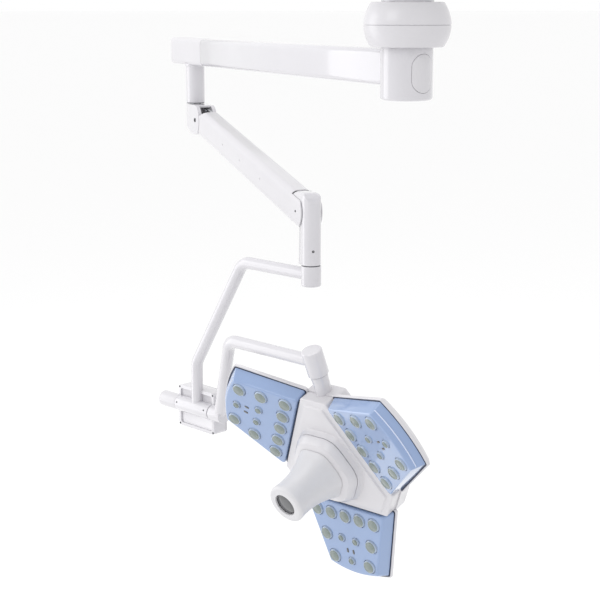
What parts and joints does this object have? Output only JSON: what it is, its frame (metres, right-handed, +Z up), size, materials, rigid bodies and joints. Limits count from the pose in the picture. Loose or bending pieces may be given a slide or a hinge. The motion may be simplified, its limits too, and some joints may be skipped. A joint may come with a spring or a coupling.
{
  "type": "ceiling-mounted operating light",
  "caption": "Ceiling-mounted operating light with a horizontal arm, a balanced spring arm, a bent-tube gimbal suspension and a petal-shaped LED head round a camera handle.",
  "frame": {"origin": "centre of the ceiling plate's top face", "axes": "+Z up towards the ceiling, +Y along the horizontal arm as stored, +X to the right of that arm seen from above with the arm pointing away"},
  "size_m": [0.431, 1.6262, 1.481],
  "materials": {
    "white_paint": "gloss white powder coat",
    "white_plastic": "smooth white moulded plastic",
    "blue_cover": "translucent pale blue, polished",
    "gasket": "dark blue seal",
    "steel": "turned steel",
    "brass": "machined brass",
    "circuit_board": "white solder mask",
    "lens": "clear moulded optic over a bright reflector",
    "camera_black": "dark smoked window"
  },
  "bodies": {
    "root": {"ceiling_plate": "steel", "ceiling_tube": "white_paint", "canopy": "white_plastic", "hub_spindle": "steel", "hub_stop_core": "brass"},
    "main_arm": {"hub_housing": "white_paint", "hub_access_cover": "white_plastic", "hub_bearing_upper": "steel", "hub_bearing_lower": "steel", "arm_beam": "white_paint", "arm_end_cap": "white_plastic", "drop_socket": "steel", "drop_tube": "white_paint"},
    "upper_knuckle": {"upper_knuckle_casting": "white_paint", "upper_swivel_stem": "steel", "upper_pivot_pin": "steel", "upper_link_pin": "steel"},
    "spring_arm": {"spring_arm_shell": "white_plastic", "spring_arm_bar": "steel", "spring_rod": "steel", "spring_nut": "brass", "balance_spring": "steel"},
    "parallel_link": {"parallel_link": "steel"},
    "front_knuckle": {"front_knuckle_casting": "white_paint", "front_pivot_pin": "steel", "front_swivel_stem": "steel"},
    "suspension": {"swivel_collar": "white_paint", "upper_suspension_tube": "white_paint", "joint_block": "white_paint", "block_end_cap": "white_plastic", "control_box": "white_paint", "control_box_lid": "white_plastic", "control_board": "circuit_board"},
    "yoke": {"yoke_hub": "white_paint", "tilt_shaft": "steel", "yoke_tube": "white_paint", "pivot_cap": "white_paint"},
    "lamp_head": {"rear_housing": "white_plastic", "rear_service_cover": "white_plastic", "driver_board": "circuit_board", "front_body_cover": "white_plastic", "handle_ring": "white_plastic", "head_neck": "white_paint", "neck_stem": "steel", "petal_cover_a": "blue_cover", "petal_cover_b": "blue_cover", "petal_cover_c": "blue_cover", "petal_gasket_a": "gasket", "petal_gasket_b": "gasket", "petal_gasket_c": "gasket", "led_board_a": "circuit_board", "led_board_b": "circuit_board", "led_board_c": "circuit_board", "lens_array_a": "lens", "lens_array_b": "lens", "lens_array_c": "lens"},
    "handle": {"handle_core": "white_plastic", "camera_module": "camera_black", "camera_window": "camera_black"},
    "handle_sleeve": {"handle_sleeve": "white_plastic"}
  },
  "joints": [
    {"name": "hub_swivel", "type": "hinge", "parent": "root", "child": "main_arm", "pos_m": [0, 0, -0.26], "axis": [0, 0, 1], "range_deg": [-175, 175]},
    {"name": "arm_swivel", "type": "hinge", "parent": "main_arm", "child": "upper_knuckle", "pos_m": [0, 1.322, -0.405], "axis": [0, 0, 1], "range_deg": [-160, 160]},
    {"name": "spring_arm_pitch", "type": "hinge", "parent": "upper_knuckle", "child": "spring_arm", "pos_m": [-0.00973, 1.22449, -0.4495], "axis": [0.9951, -0.0993, 0], "range_deg": [-20, 36]},
    {"name": "parallel_link_pitch", "type": "hinge", "parent": "upper_knuckle", "child": "parallel_link", "pos_m": [-0.00973, 1.22449, -0.4235], "axis": [0.9951, -0.0993, 0], "range_deg": [-20, 36]},
    {"name": "front_knuckle_level", "type": "hinge", "parent": "spring_arm", "child": "front_knuckle", "pos_m": [-0.10238, 0.29629, -0.59441], "axis": [0.9951, -0.0993, 0], "range_deg": [-36, 20]},
    {"name": "suspension_swivel", "type": "hinge", "parent": "front_knuckle", "child": "suspension", "pos_m": [-0.10601, 0.25997, -0.71941], "axis": [0, 0, 1], "range_deg": [-165, 165]},
    {"name": "yoke_tilt", "type": "hinge", "parent": "suspension", "child": "yoke", "pos_m": [-0.06872, 0.15754, -1.15641], "axis": [-0.342, 0.9397, 0], "range_deg": [-100, 100]},
    {"name": "head_turn", "type": "hinge", "parent": "yoke", "child": "lamp_head", "pos_m": [-0.06872, 0.15754, -1.15641], "axis": [-0.3505, -0.1276, 0.9278], "range_deg": [-150, 150]},
    {"name": "handle_twist", "type": "hinge", "parent": "lamp_head", "child": "handle", "pos_m": [-0.06872, 0.15754, -1.15641], "axis": [-0.8614, -0.3451, -0.3728], "range_deg": [-45, 45]},
    {"name": "sleeve_release", "type": "slide", "parent": "handle", "child": "handle_sleeve", "axis": [-0.8614, -0.3451, -0.3728], "range_m": [0, 0.14]}
  ],
  "couplings": [
    {"joint": "parallel_link_pitch", "follows": "spring_arm_pitch", "ratio": 1},
    {"joint": "front_knuckle_level", "follows": "spring_arm_pitch", "ratio": -1}
  ]
}
